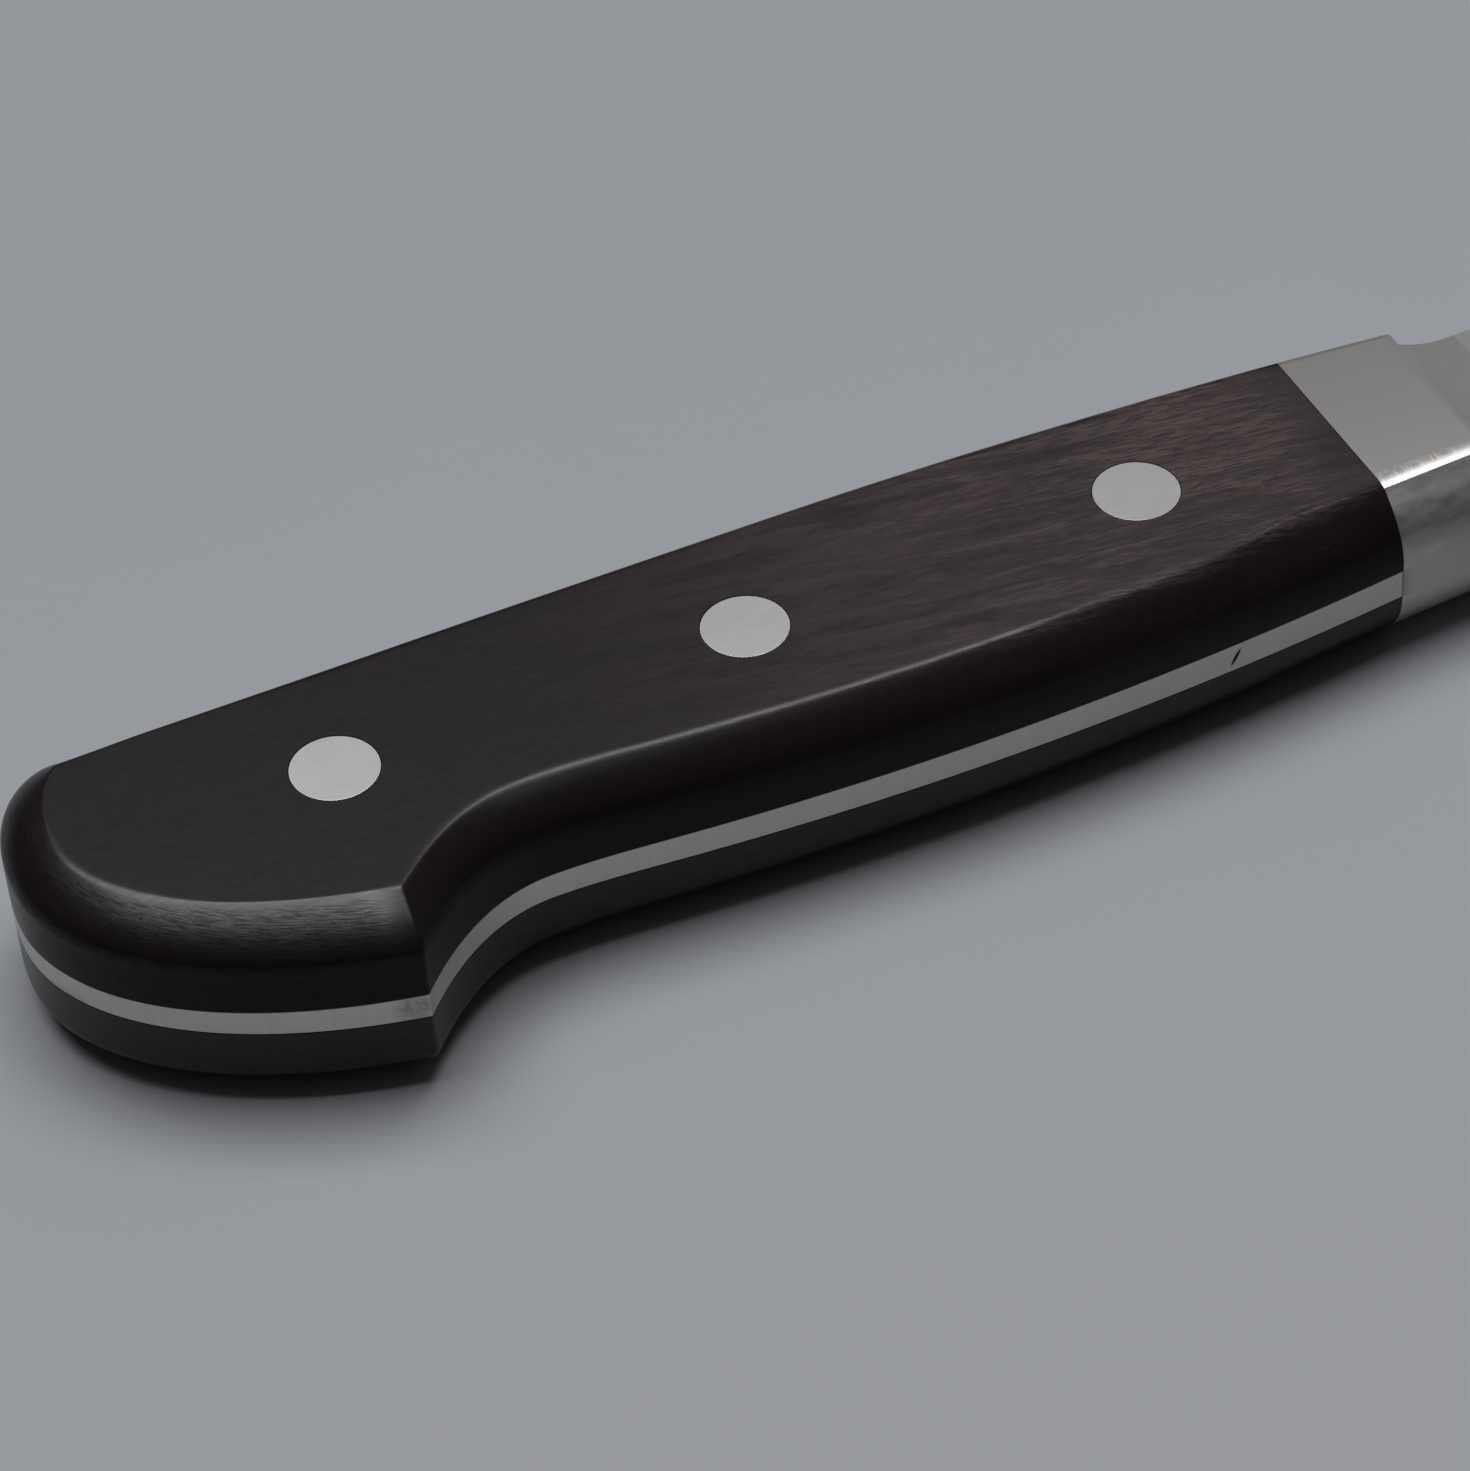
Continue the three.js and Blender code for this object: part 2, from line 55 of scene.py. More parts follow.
# Handle outline, as in the CAD model
JOINT_TO_CREST = 30.35
CREST_TO_GRIP = 27.5
GRIP_TO_WAIST = 9.35
WAIST_TO_HOOK = 11.85
HOOK_TO_BUTT = 22.75
BELLY_AT_FRONT = 10.65
BELLY_AT_JOINT = 11.1
BELLY_AT_CREST = 12.7
BELLY_AT_GRIP = 11.2
BELLY_AT_WAIST = 10.48
HOOK_DEPTH = 17
GRIP_SLOPE = 0.107
HOOK_SLOPE = 1.1
JOINT_TO_SPINE_PEAK = 40.7
SPINE_AT_JOINT = 10.88
SPINE_PEAK = 12.7
SPINE_AT_BUTT = 12.34
BUTT_END_HEIGHT = 1.8
BUTT_SWEEP = 35.3
BUTT_CORNER = 6.1

# Thickness and rounding
THICKNESS_AT_JOINT = 13.8
THICKNESS_AT_BUTT = 15.6
CREASE_INSET = 3.4
BACK_INSET = 3
HOOK_INSET = 2.7
HOOK_BEVEL = 4.2
BEVEL_REACH = 34
FRONT_DISH = 0.6
FRONT_DISH_LENGTH = 13.5
CORNER_BLEND = 4
JOINT_ROUND = (1.0, 2.4)
GRIP_ROUND = (0.68, 2.5)
BUTT_ROUND = (0.45, 2.0)
BACK_ROUND = (1.0, 1.85)
TANG_AT_BUTT = 2.05
TANG_AT_JOINT = 2.5
SEAM = 0.06

# Bolster and blade
BOLSTER_LENGTH = 9.15
BOLSTER_FILLET = 7.5
FILLET_TOE = 0.25
SPINE_AT_TIP = 0.6
BLADE_LENGTH = 210
HEEL_HEIGHT = 45
TIP_DROP = 19
SPINE_RISE = 0.42
FRONT_TO_CHOIL = 1
CHOIL_RADIUS = 6.5
CHOIL_LEAN = 1.2
GRIND_SHARE = 0.42
BEHIND_EDGE = 0.32
EDGE_WIDTH = 0.06
BEVEL_HEIGHT = 0.9
BEVEL_SHARE = 0.3
TIP_ROUND = 0.5
EDGE_CURVE = 3
SPINE_CURVE = 3.2

# Rivets
FRONT_RIVET_SETBACK = 16
REAR_RIVET_MARGIN = 23.3
RIVET_HEAD_RADIUS = 3.2
RIVET_HEAD_THICKNESS = 2
RIVET_POST_RADIUS = 1.2
RIVET_BARREL_RADIUS = 2
RIVET_RECESS = 0.03

# Finish of the edges, which the CAD model leaves sharp: eases are lengths on the flat and on the side
JOINT_EASE = (0.01, 0.01)
FRONT_EASE = (0.6, 0.6)
GRIP_EASE = (0.4, 0.24)
NOTCH_EASE = (0.6, 0.22)
BUTT_EASE = (0.14, 0.14)
END_EASE = (0.4, 0.4)
END_REACH = 10
END_RISE = 3
END_STEEPNESS = 1.5
FLAT_MARGIN = 0.5
HOOK_EDGE = 0.3
BOLSTER_EDGE = 0.6
STRIP_EDGE = 0.03
WELD_EDGE = 0.002
SPINE_EDGE = 0.2
BELLY_POLISH = 0.95
SPINE_POLISH = 0.4
POLISH_SLOPE = 0.3
RIVET_EDGE = 0.012

# Fineness of the meshes
GRIP_STEPS = 130
NOTCH_STEPS = 34
BUTT_STEPS = 60
CORNER_STEPS = 6
CORNER_SHARE = 0.9
SOFT_ROWS = 8
POLISH_ROWS = 6
SIDE_ROWS = 22
SIDE_ROW_POWER = 1.3
BOLSTER_STEPS = 10
FILLET_STEPS = 20
CHOIL_STEPS = 16
BLADE_STEPS = 90
FACE_ROWS = 9
ROUND_SIDES = 96
RIM_STEPS = 3
SHARP_ANGLE = math.radians(28)

# Noise textures: sizes of the features in millimetres, detail, roughness and distortion
FLECKS = ((1.9, 0.16, 0.2), 5, 0.7, 0.5)
PATCHES = ((9, 1.3, 1.3), 4, 0.6, 0.6)
PORES = ((0.7, 0.07, 0.07), 2, 0.55, 0)
UNEVENNESS = ((1.2, 0.3, 0.3), 5, 0.75, 0)
SANDING = ((1.7, 0.11, 1), 4, 0.65, 0)
STEEL_CLOUDS = ((6, 4, 4), 3, 0.5, 0)
SIDE_BLUR = ((2.5, 2.5, 0.7), 4, 0.6, 0)
SCRATCHES = ((0.12, 1.2, 1.2), 4, 0.7, 0.4)
BLOTS = ((0.5, 0.5, 0.5), 3, 0.6, 0)
MOTTLE = ((40, 40, 40), 3, 0.5, 0)
GRIT = ((0.4, 0.4, 0.4), 2, 0.55, 0)
GRINDING_NOISE = (4, 0.65, 0)

# Parts of the textures' range that are used, from where a feature is absent to where it is full
FULL_RANGE = (0.3, 0.7)
FLECK_RANGE = (0.46, 0.57)
PATCH_RANGE = (0.32, 0.68)
SANDING_RANGE = (0.62, 0.38)
SCRATCH_RANGE = (0.4, 0.65)
BLOT_RANGE = (0.25, 0.7)

# Reliefs: depth in millimetres and strength
FLECK_RELIEF = (0.008, 0.35)
PORE_RELIEF = (0.002, 0.3)
SANDING_RELIEF = (0.025, 0.35)
GRIT_RELIEF = (0.01, 0.2)
GRINDING_DEPTH = 0.015
GRINDING_STRENGTH = 0.5

# Spots: place, half sizes, turn about the y axis and share of the half sizes that is full
ROSY_SPOT = ((-8, 3, 7), (13, 8, 6), 0, 0.35)
STAIN_SPOT = ((-80.1, -16.75, 0), (1.9, 1.7, 1.8), 0, 0.3)
NICK_SPOT = ((-14.44, -12.26, 0), (0.22, 0.5, 1.0), math.radians(30), 0.5)

# Wood's colour: levels multiply the brown or the flecks; the side shade foot is a span below the
# crease over which painted shade takes the brown off the sides
GRAIN_TURN = math.radians(8)
BLACK_WOOD = (0.0084, 0.0058, 0.0066)
BROWN_WOOD = (0.075, 0.049, 0.05)
BROWN_LEAD = 18
BROWN_LEVELS = (0.03, 0.6)
PATCH_LEVELS = (0.35, 1.6)
ROSY_SHARE = 0.4
JOINT_SHADE = (0, -6)
JOINT_LEVELS = (0.4, 1)
SIDE_SHADE_FOOT = (1.4, -0.2)
SIDE_SHADE_LEVELS = (0.1, 1)
OPEN_GRAIN_LEVELS = (0.1, 1)
FLECK_SHARE = 0.95

# Wood's gloss: spans are from the hook, the butt's end or the front rivet, WORN_SPAN is from the
# middle plane, and feet and tops are from the crease
WOOD_IOR = 1.5
WOOD_ROUGHNESS = (0.28, 0.36)
WORN_SPAN = (-1, 1)
WORN_GLOSS = (0.36, 0.13)
SHEEN_GLOSS = 0.385
UNEVEN_LEVELS = (0.86, 1.14)
BUTT_SPAN = (1, -3)
BEVEL_FOOT = (6, 3)
HOOK_SPAN = (-3.5, -1)
HOOK_SHEEN = (0.62, 1.3)
END_SPAN = (4.8, 2.6)
END_SHEEN = (0, 1.1)
END_FOOT = (2, 1)
FLAT_FOOT = (0.7, -0.4)
CREASE_TOP = (-0.5, -0.2)
GRIP_DULL_SPAN = (0, 3)
GRIP_DULLING = (0, 0.12)
FRONT_DULL_SPAN = (-18, -6)
FRONT_DULLING = (0, 0.85)
MARK_TURN = 0.1
MARK_TOP = (0, 1)
MARK_FOOT = (6, 4)
MARK_GLOSS = 0.4

# Steels: tint, roughness, sizes of the grinding marks and contrast between them
STEELS = {
    "blade_steel": ((0.6, 0.59, 0.57), 0.32, (0.09, 12, 12), 0.06),
    "bolster_steel": ((0.62, 0.602, 0.587), 0.3, (3, 0.5, 0.5), 0.02),
    "rivet_steel": ((0.69, 0.68, 0.68), 0.34, (3, 0.09, 3), 0.11),
}
MARK_SHARE = 0.7
GLOSS_SHARE = 0.25

# Bolster's sides, with their painted shade, and polished edge: spans are from the crease
SHADED_STEEL = (0.2, 0.19, 0.185)
SHADED_SHARE = 0.22
SIDE_SPAN = (0, -1)
SIDE_DULLING = (0.12, 0.24)
POLISHED_TOP = (1.6, 1)
POLISHED_FOOT = (-0.4, 0)
SCRATCH_DULLING = (0, 0.1)

# Tang's lower edge: spans are from the joint
TARNISHED_STEEL = (0.36, 0.34, 0.318)
TARNISH_LEVELS = (0.05, 0.45)
TARNISH_SPAN = (1, 0)
# Where the tang runs through the bolster it takes the bolster sides' painted shade
IN_BOLSTER_FADE = 0.2
WELD_DULLING = 0.16
SEAM_LINE = (0.1, 0.095, 0.09)
SEAM_SPAN = (0.16, 0.06)
SEAM_LEVELS = (0, 0.6)
STAIN_BROWN = (0.26, 0.21, 0.17)
STAIN_LEVELS = (0.24, 0.8)
NICK_BLACK = (0.02, 0.018, 0.018)

# Table, with its reach and its fade in metres; the fade is painted light that makes the table paler
# towards the camera
TABLE_FAR_DIM = (0.288, 0.306, 0.33)
TABLE_NEAR_LIT = (0.318, 0.326, 0.345)
TABLE_ROUGHNESS = 0.6
TABLE_REACH = 6.0
TABLE_LIGHT_FADE = (0.1, -0.1)
LIGHT_SHARE = 0.8

# Lamp and room, with the lamp's lengths in metres
SOFTBOX_PLACE = (0.0, 0.215, 0.97)
SOFTBOX_AIM = (-0.02, 0, 0)
SOFTBOX_SIZE = (0.92, 0.62)
SOFTBOX_TURN = math.radians(-13)
SOFTBOX_RADIANCE = 5.6
ROOM_TINT = (0.97, 0.985, 1.0)
CEILING_SPAN = (0.3, 1.0)
CEILING_GLOW = (0.02, 0.11)
WALL_WAY = (0.86, 0.51, 0.05)
WALL_SPAN = (0.6, 0.95)
WALL_GLOW = (0, 0.27)

# Camera: azimuth, elevation and roll in degrees, then its aim, distance and lens in millimetres
CAMERA_TURNS = (-21.589, 43.968, -4.746)
CAMERA_AIM = (-15.215, 4.346, 0)
CAMERA_DISTANCE = 382.02
CAMERA_LENS = 127.755
CAMERA_NEAREST = 10

# Places along the knife
GRIP_X = -(JOINT_TO_CREST + CREST_TO_GRIP)
WAIST_X = GRIP_X - GRIP_TO_WAIST
HOOK_X = WAIST_X - WAIST_TO_HOOK
BUTT_X = HOOK_X - HOOK_TO_BUTT
CHOIL_X = BOLSTER_LENGTH + FRONT_TO_CHOIL
HEEL_X = CHOIL_X + CHOIL_RADIUS + CHOIL_LEAN
TIP_X = HEEL_X + BLADE_LENGTH
FLAT_TAPER = (THICKNESS_AT_BUTT - THICKNESS_AT_JOINT) / 2 / -BUTT_X
REAR_RIVET_X = BUTT_X + REAR_RIVET_MARGIN
RIVETS = {
    "front": -FRONT_RIVET_SETBACK,
    "middle": (REAR_RIVET_X - FRONT_RIVET_SETBACK) / 2,
    "rear": REAR_RIVET_X,
}


def lerp(a, b, t):
    return a + (b - a) * t


def smooth(t):
    t = np.clip(t, 0, 1)
    return t * t * (3 - 2 * t)


def flat_height(x):
    return THICKNESS_AT_JOINT / 2 - FLAT_TAPER * x


def steel_height(x):
    behind = lerp(TANG_AT_JOINT, TANG_AT_BUTT, x / BUTT_X)
    ahead = lerp(TANG_AT_JOINT, SPINE_AT_TIP, x / TIP_X)
    return np.where(np.asarray(x) < 0, behind, ahead) / 2


# The knife lies on the flat of its left scale, with the origin under the front two rivets' middle
REST_X = (RIVETS["front"] + RIVETS["middle"]) / 2
LIE = Matrix.Rotation(math.atan(FLAT_TAPER), 4, "Y")
PLACE = Matrix.Translation(-(LIE @ Vector((REST_X, 0, -flat_height(REST_X))))) @ LIE


def row(point):
    return PLACE @ Vector(point) * MM


# Outline of the handle
BELLY_KNOTS = [
    (0, -BELLY_AT_JOINT, 2 * (BELLY_AT_CREST - BELLY_AT_JOINT) / JOINT_TO_CREST),
    (-JOINT_TO_CREST, -BELLY_AT_CREST, 0),
    (GRIP_X, -BELLY_AT_GRIP, -GRIP_SLOPE),
    (WAIST_X, -BELLY_AT_WAIST, 0),
    (HOOK_X, -HOOK_DEPTH, HOOK_SLOPE),
]


def hermite(x, a, b):
    span = b[0] - a[0]
    t = (x - a[0]) / span
    leave = t * (1 - t) ** 2 * a[2]
    arrive = t * t * (1 - t) * b[2]
    return lerp(a[1], b[1], t * t * (3 - 2 * t)) + span * (leave - arrive)


def round_end(from_end, length):
    return math.sqrt(1 - (1 - from_end / length) ** 2)


def belly_line(x):
    if x >= 0:
        return -lerp(BELLY_AT_JOINT, BELLY_AT_FRONT, min(x / BOLSTER_LENGTH, 1))
    if x < HOOK_X:
        depth = (BUTT_END_HEIGHT + HOOK_DEPTH) / round_end(HOOK_TO_BUTT, BUTT_SWEEP)
        return BUTT_END_HEIGHT - depth * round_end(x - BUTT_X, BUTT_SWEEP)
    after = next(k for k, knot in enumerate(BELLY_KNOTS) if k and knot[0] <= x)
    return hermite(x, BELLY_KNOTS[after - 1], BELLY_KNOTS[after])


def back_line(x):
    peak = -JOINT_TO_SPINE_PEAK
    if x > peak:
        return SPINE_PEAK - (SPINE_PEAK - SPINE_AT_JOINT) * ((x - peak) / peak) ** 2
    back = SPINE_PEAK - (SPINE_PEAK - SPINE_AT_BUTT) * ((peak - x) / (peak - BUTT_X)) ** 2
    if x > BUTT_X + BUTT_CORNER:
        return back
    return lerp(BUTT_END_HEIGHT, back, round_end(x - BUTT_X, BUTT_CORNER))


def handle_stations():
    grip = [WAIST_X * i / GRIP_STEPS for i in range(GRIP_STEPS)]
    notch = [lerp(WAIST_X, HOOK_X, i / NOTCH_STEPS) for i in range(NOTCH_STEPS)]
    turns = [math.pi / 2 * i / BUTT_STEPS for i in range(BUTT_STEPS)]
    butt = [lerp(BUTT_X, HOOK_X, 1 - math.sin(turn)) for turn in turns]
    return grip + notch, butt


def directions(points):
    """Direction of travel and inward normal along an outline that is walked clockwise."""
    padded = np.vstack([points[:1], points, points[-1:]])
    along = padded[2:] - padded[:-2]
    along /= np.linalg.norm(along, axis=1, keepdims=True)
    return along, np.column_stack([along[:, 1], -along[:, 0]])


def crease_beside(points, insets, corners):
    """The crease of the flat: moved inwards, with its ends slid onto the given corners."""
    along, inward = directions(points)
    crease = points + inward * insets[:, None]
    slides = []
    for end, corner in zip((0, -1), corners):
        slide = (corner - crease[end]) @ along[end]
        away = np.linalg.norm(points - points[end], axis=1)
        away /= max(CORNER_BLEND * abs(slide), SEAM)
        slides.append(along * (slide * np.clip(1 - away, 0, 1) ** 2)[:, None])
    return crease + sum(slides)


def mitre(corner, first, first_inset, second, second_inset):
    return corner + np.linalg.solve(np.array([first, second]), (first_inset, second_inset))


def eased_corner(points, k, size):
    """The polyline with its corner k rounded off over the given length on both sides."""
    corner = points[k]
    ends = []
    for neighbour in (points[k - 1], points[k + 1]):
        way = neighbour - corner
        ends.append(corner + way * min(size / np.linalg.norm(way), CORNER_SHARE))
    t = np.linspace(0, 1, CORNER_STEPS)[:, None]
    arc = ends[0] * (1 - t) ** 2 + 2 * corner * t * (1 - t) + ends[1] * t * t
    return np.vstack([points[:k], arc, points[k + 1:]])


def front_dish(x):
    """How far the belly's crease bows in behind the bolster."""
    from_middle = 2 * x / FRONT_DISH_LENGTH + 1
    return FRONT_DISH * np.clip(1 - from_middle ** 2, 0, 1) ** 2


def butt_share(points):
    """0 along the back, 1 from the butt's end round to the belly."""
    share = np.clip(1 - (points[:, 0] - BUTT_X) / (2 * BUTT_CORNER), 0, 1)
    return np.where(points[:, 1] > BUTT_END_HEIGHT, share, 1)


def scale_outline():
    """Outline of a scale and the crease of its flat, from the joint's belly round the butt."""
    front, butt = handle_stations()
    front[0] = -SEAM
    belly = np.array([(x, belly_line(x)) for x in front + butt[:1]])
    below = [(x, belly_line(x)) for x in butt]
    above = [(x, back_line(x)) for x in reversed(front + butt)]
    back = np.array(below + above)
    hook = belly[-1]

    def insets(points, at_tip, reach):
        away = np.linalg.norm(points - hook, axis=1) / reach
        return lerp(at_tip, lerp(BACK_INSET, CREASE_INSET, butt_share(points)), smooth(away))

    sides = directions(belly)[1][-1], directions(back)[1][0]
    corner = mitre(hook, sides[0], HOOK_INSET, sides[1], HOOK_BEVEL)
    start = belly[0] + (0, CREASE_INSET)
    end = back[-1] - (0, BACK_INSET)
    belly_insets = insets(belly, HOOK_INSET, WAIST_TO_HOOK) + front_dish(belly[:, 0])
    belly_crease = crease_beside(belly, belly_insets, (start, corner))
    back_crease = crease_beside(back, insets(back, HOOK_BEVEL, BEVEL_REACH), (corner, end))
    tip = len(belly) - 1
    outline = eased_corner(np.vstack([belly, back[1:]]), tip, HOOK_EDGE)
    crease = eased_corner(np.vstack([belly_crease, back_crease[1:]]), tip, HOOK_EDGE)
    return outline, crease


def round_at(points):
    """Share of the depth that is rounded and the power of that rounding."""
    x, y = points.T
    ahead = np.clip(x / GRIP_X, 0, 1)
    behind = np.clip((x - GRIP_X) / (HOOK_X - GRIP_X), 0, 1)
    on_belly = (y < 0) & (x > HOOK_X)
    rounds = []
    for joint, grip, butt, back in zip(JOINT_ROUND, GRIP_ROUND, BUTT_ROUND, BACK_ROUND):
        belly = np.where(x > GRIP_X, lerp(joint, grip, ahead), lerp(grip, butt, behind))
        rounds.append(np.where(on_belly, belly, lerp(back, butt, butt_share(points))))
    return rounds


def easing(points):
    """How far the crease is eased on the flat and on the side."""
    x, y = points.T
    near_notch = smooth(1 - np.abs(x - (WAIST_X + HOOK_X) / 2) / WAIST_TO_HOOK)
    stations = -2 * FRONT_RIVET_SETBACK, -FRONT_RIVET_SETBACK, 0
    near_end = smooth(END_STEEPNESS * (1 - (x - BUTT_X) / END_REACH))
    near_end = near_end * smooth(1 - (y - BUTT_END_HEIGHT) / END_RISE)
    eases = []
    for k in range(2):
        ahead = np.interp(x, stations, (GRIP_EASE[k], FRONT_EASE[k], JOINT_EASE[k]))
        behind = lerp(BUTT_EASE[k], END_EASE[k], near_end)
        eases.append(lerp(np.where(x > WAIST_X, ahead, behind), NOTCH_EASE[k], near_notch))
    return eases


# Meshes
def new_object(name, points, faces, sharp=()):
    mesh = bpy.data.meshes.new(name)
    mesh.from_pydata([row(p) for p in points], [], faces)
    piece = bpy.data.objects.new(name, mesh)
    bpy.context.scene.collection.objects.link(piece)
    work = bmesh.new()
    work.from_mesh(mesh)
    bmesh.ops.recalc_face_normals(work, faces=work.faces)
    work.verts.ensure_lookup_table()
    for a, b in sharp:
        edge = work.edges.get((work.verts[a], work.verts[b]))
        edge.smooth = False
    work.to_mesh(mesh)
    work.free()
    return piece


def loft_faces(rings, count):
    """Quads between closed rings of points, and a face on the first and last ring."""
    faces = [list(range(count)), list(range((rings - 1) * count, rings * count))]
    for r in range(rings - 1):
        for i in range(count):
            j = (i + 1) % count
            faces.append([r * count + i, r * count + j, (r + 1) * count + j, (r + 1) * count + i])
    return faces


def shade(piece):
    """Smooth shading with sharp edges where faces meet at an angle."""
    work = bmesh.new()
    work.from_mesh(piece.data)
    for face in work.faces:
        face.smooth = True
    for edge in work.edges:
        if edge.calc_face_angle(0) > SHARP_ANGLE:
            edge.smooth = False
    work.to_mesh(piece.data)
    work.free()


def turned(name, x, profile, side=1, taper_from=None):
    """A solid turned about an axis square to the knife, from (radius, height) points.

    The profile starts and ends on that axis. Above taper_from its points follow the flat's taper.
    """
    points = []
    for radius, height in profile[1:-1]:
        for i in range(ROUND_SIDES):
            turn = 2 * math.pi * i / ROUND_SIDES
            dx = radius * math.cos(turn)
            ground = 0 if taper_from is None or height < taper_from else -FLAT_TAPER * dx
            points.append((x + dx, radius * math.sin(turn), side * (height + ground)))
    faces = loft_faces(len(profile) - 2, ROUND_SIDES)
    return new_object(name, points, faces)


def drill(piece, cutters):
    """Cuts the cutters out of the piece and removes them."""
    for cutter in cutters:
        cut = piece.modifiers.new("drill", "BOOLEAN")
        cut.operation = "DIFFERENCE"
        cut.solver = "EXACT"
        cut.object = cutter
    graph = bpy.context.evaluated_depsgraph_get()
    drilled = bpy.data.meshes.new_from_object(piece.evaluated_get(graph))
    piece.modifiers.clear()
    piece.data = drilled
    for cutter in cutters:
        bpy.data.objects.remove(cutter)


def surface_map(piece, values):
    """Keeps how far round the outline and how far below the crease each point lies, as a map."""
    layer = piece.data.uv_layers.new(name="surface")
    for loop in piece.data.loops:
        layer.data[loop.index].uv = values[loop.vertex_index]


def head_floor(x):
    return flat_height(x) - RIVET_HEAD_THICKNESS


def scale(name, side):
    """A scale: flat, eased crease, rounded side, and the bores of its rivets."""
    outline, crease = scale_outline()
    x = outline[:, 0]
    drop = crease - outline
    inset = np.linalg.norm(drop, axis=1)
    reach, power = round_at(outline)
    top = flat_height(crease[:, 0])
    base = steel_height(x) + SEAM
    flat_ease, side_ease = easing(outline)
    margin = np.where(x > WAIST_X, FLAT_MARGIN, flat_ease)

    def at_depth(depth):
        share = np.clip(1 - depth / reach, 0, 1) ** power
        return np.column_stack([outline + drop * share[:, None], lerp(top, base, depth)])

    inside = crease + drop * (flat_ease / inset)[:, None]
    flat_edge = np.column_stack([inside, flat_height(inside[:, 0])])
    ridge = np.column_stack([crease, top])
    start = side_ease / np.hypot(inset * power / reach, top - base)
    side_edge = at_depth(start)
    flat = crease + drop * ((flat_ease + margin) / inset)[:, None]
    rows = [np.column_stack([flat, flat_height(flat[:, 0])])]
    for t in np.linspace(0, 1, SOFT_ROWS):
        rows.append(flat_edge * (1 - t) ** 2 + 2 * ridge * t * (1 - t) + side_edge * t * t)
    for t in np.linspace(0, 1, SIDE_ROWS)[1:]:
        rows.append(at_depth(lerp(start, 1, t ** SIDE_ROW_POWER)))
    rows = np.array(rows)
    steps = np.linalg.norm(np.diff(rows, axis=0), axis=2)
    below = np.vstack([np.zeros(len(x)), np.cumsum(steps, axis=0)]) - flat_ease - margin
    along = np.linalg.norm(np.diff(outline, axis=0, prepend=outline[:1]), axis=1).cumsum()
    rows[:, :, 2] *= side
    piece = new_object(name, rows.reshape(-1, 3), loft_faces(len(rows), len(x)))
    values = [(u * MM, v * MM) for line in below for u, v in zip(along, line)]
    surface_map(piece, values)
    outside = THICKNESS_AT_BUTT
    cutters = []
    for rivet, place in RIVETS.items():
        head = RIVET_HEAD_RADIUS + SEAM
        barrel = RIVET_BARREL_RADIUS + SEAM
        floor = head_floor(place)
        profile = [(0, 0), (barrel, 0), (barrel, floor), (head, floor), (head, outside), (0, outside)]
        cutters.append(turned("cutter", place, profile, side))
    drill(piece, cutters)
    shade(piece)
    return piece


def cheek(name, side):
    """A bolster cheek: flat, polished edges, rounded sides and a front that fillets onto the blade."""
    full = flat_height(BOLSTER_LENGTH) - steel_height(BOLSTER_LENGTH)
    lowest = 1 - FILLET_TOE / full
    stations = [(BOLSTER_LENGTH * i / BOLSTER_STEPS, 0) for i in range(BOLSTER_STEPS + 1)]
    for i in range(1, FILLET_STEPS + 1):
        turn = math.pi / 2 * i / FILLET_STEPS
        x = BOLSTER_LENGTH + BOLSTER_FILLET * (1 - math.cos(turn))
        stations.append((x, full * lowest * math.sin(turn)))
    stations = eased_corner(np.array(stations), BOLSTER_STEPS, BOLSTER_EDGE)
    points = []
    for x, fallen in stations:
        drop = fallen / full

        def half_section(edge, crease, rounding, polish):
            """From the tang up the side and over the polished edge to the flat."""
            width = polish * (1 - drop / lowest) + SEAM
            fall = width * POLISH_SLOPE / 2 / full
            reach, power = rounding
            section = []
            for depth in np.linspace(1, drop + fall, SIDE_ROWS):
                section.append((crease * (1 - depth / reach) ** power, depth))
            foot = section[-1][0]
            for t in np.linspace(0, 1, POLISH_ROWS + 1)[1:]:
                polished = math.copysign(width * t, crease)
                section.append((foot + polished, drop + fall * (1 - t) ** 2))
            placed = []
            for inset, depth in section:
                height = lerp(flat_height(x), steel_height(x), depth)
                placed.append((x, edge + inset, side * float(height)))
            return placed

        back = back_line(min(x, BOLSTER_LENGTH))
        points += half_section(belly_line(x), CREASE_INSET, JOINT_ROUND, BELLY_POLISH)
        points += reversed(half_section(back, -BACK_INSET, BACK_ROUND, SPINE_POLISH))
    half = SIDE_ROWS + POLISH_ROWS
    sharp = [
        (r * 2 * half + k, (r + 1) * 2 * half + k)
        for r in range(BOLSTER_STEPS)
        for k in (SIDE_ROWS - 1, 2 * half - SIDE_ROWS)
    ]
    piece = new_object(name, points, loft_faces(len(stations), 2 * half), sharp)
    shade(piece)
    return piece


def spine_line(x):
    if x < BOLSTER_LENGTH:
        return back_line(x)
    t = (x - BOLSTER_LENGTH) / (TIP_X - BOLSTER_LENGTH)
    risen = min((x - BOLSTER_LENGTH) / FRONT_TO_CHOIL, 1)
    return back_line(BOLSTER_LENGTH) + SPINE_RISE * risen - TIP_DROP * t ** SPINE_CURVE


def edge_line(x):
    heel = back_line(BOLSTER_LENGTH) - HEEL_HEIGHT
    t = min(max((x - HEEL_X) / BLADE_LENGTH, 0), 1)
    return heel + (HEEL_HEIGHT - TIP_DROP) * t ** EDGE_CURVE


def lower_line(x):
    if x <= CHOIL_X:
        return belly_line(x)
    if x >= HEEL_X:
        return edge_line(x)
    into = min((x - CHOIL_X) / CHOIL_RADIUS, 1)
    round_part = belly_line(x) - CHOIL_RADIUS * (1 - math.sqrt(1 - into * into))
    past = max(x - CHOIL_X - CHOIL_RADIUS, 0) / CHOIL_LEAN
    return lerp(round_part, edge_line(HEEL_X), past)


def blade_height(x, y):
    grind = lerp(spine_line(x), edge_line(x), GRIND_SHARE)
    ground = min(max((grind - y) / (grind - edge_line(x)), 0), 1)
    begun = min(max((x - CHOIL_X) / (HEEL_X - CHOIL_X), 0), 1)
    return lerp(float(steel_height(x)), BEHIND_EDGE / 2, ground * begun)


